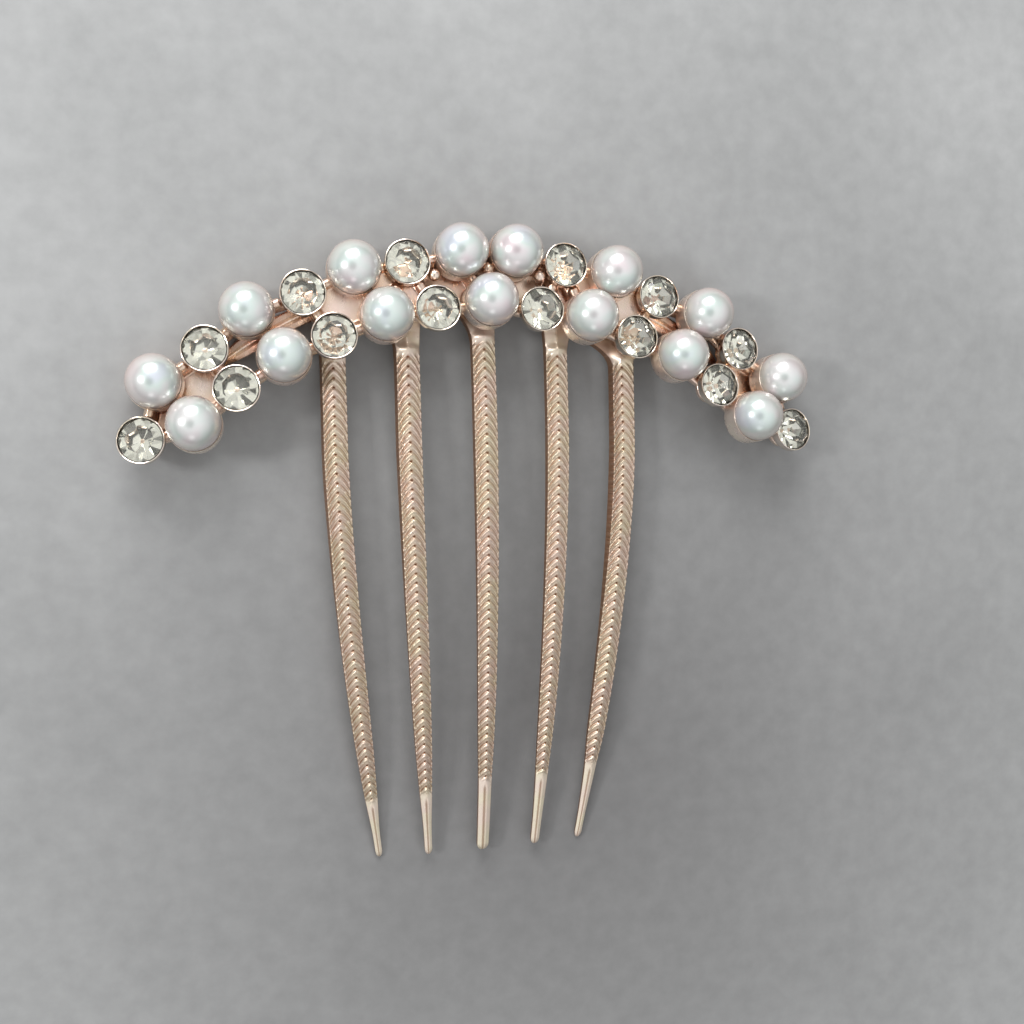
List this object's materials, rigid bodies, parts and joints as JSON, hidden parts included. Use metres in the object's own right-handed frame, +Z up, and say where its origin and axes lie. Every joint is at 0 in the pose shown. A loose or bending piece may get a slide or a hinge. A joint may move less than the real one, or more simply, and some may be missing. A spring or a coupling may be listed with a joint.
{
  "type": "decorative hair comb",
  "caption": "Hair comb with slim curved tines below an arched head of pearls and round crystals set in two staggered rows.",
  "frame": {"origin": "middle of the comb's bounding box, on the surface that the comb lies on with its hollow side down", "axes": "+X along the head from its left end to its right end, +Y from the tine tips towards the head, +Z up, out of the faces of the stones"},
  "size_m": [0.0824, 0.0741, 0.0096],
  "materials": {
    "rose_gold_plate": "polished rose gold plate",
    "pale_gold_plate": "polished pale gold plate",
    "pearl": "pearlescent lacquer, soft gloss",
    "crystal": "cut glass with a mirror foil behind"
  },
  "bodies": {
    "root": {"back_rail": "rose_gold_plate", "crystal_cup_lower_left_1": "pale_gold_plate", "crystal_cup_lower_left_3": "pale_gold_plate", "crystal_cup_lower_left_5": "pale_gold_plate", "crystal_cup_lower_left_7": "pale_gold_plate", "crystal_cup_lower_right_1": "pale_gold_plate", "crystal_cup_lower_right_3": "pale_gold_plate", "crystal_cup_lower_right_5": "pale_gold_plate", "crystal_cup_lower_right_7": "pale_gold_plate", "crystal_cup_upper_left_2": "pale_gold_plate", "crystal_cup_upper_left_4": "pale_gold_plate", "crystal_cup_upper_left_6": "pale_gold_plate", "crystal_cup_upper_right_2": "pale_gold_plate", "crystal_cup_upper_right_4": "pale_gold_plate", "crystal_cup_upper_right_6": "pale_gold_plate", "crystal_lower_left_1": "crystal", "crystal_lower_left_3": "crystal", "crystal_lower_left_5": "crystal", "crystal_lower_left_7": "crystal", "crystal_lower_right_1": "crystal", "crystal_lower_right_3": "crystal", "crystal_lower_right_5": "crystal", "crystal_lower_right_7": "crystal", "crystal_upper_left_2": "crystal", "crystal_upper_left_4": "crystal", "crystal_upper_left_6": "crystal", "crystal_upper_right_2": "crystal", "crystal_upper_right_4": "crystal", "crystal_upper_right_6": "crystal", "gallery": "rose_gold_plate", "pearl_lower_left_2": "pearl", "pearl_lower_left_4": "pearl", "pearl_lower_left_6": "pearl", "pearl_lower_right_2": "pearl", "pearl_lower_right_4": "pearl", "pearl_lower_right_6": "pearl", "pearl_middle": "pearl", "pearl_pins": "rose_gold_plate", "pearl_seats": "rose_gold_plate", "pearl_upper_left_1": "pearl", "pearl_upper_left_3": "pearl", "pearl_upper_left_5": "pearl", "pearl_upper_left_7": "pearl", "pearl_upper_right_1": "pearl", "pearl_upper_right_3": "pearl", "pearl_upper_right_5": "pearl", "pearl_upper_right_7": "pearl", "tine_1": "rose_gold_plate", "tine_2": "rose_gold_plate", "tine_3": "rose_gold_plate", "tine_4": "rose_gold_plate", "tine_5": "rose_gold_plate"}
  },
  "joints": []
}
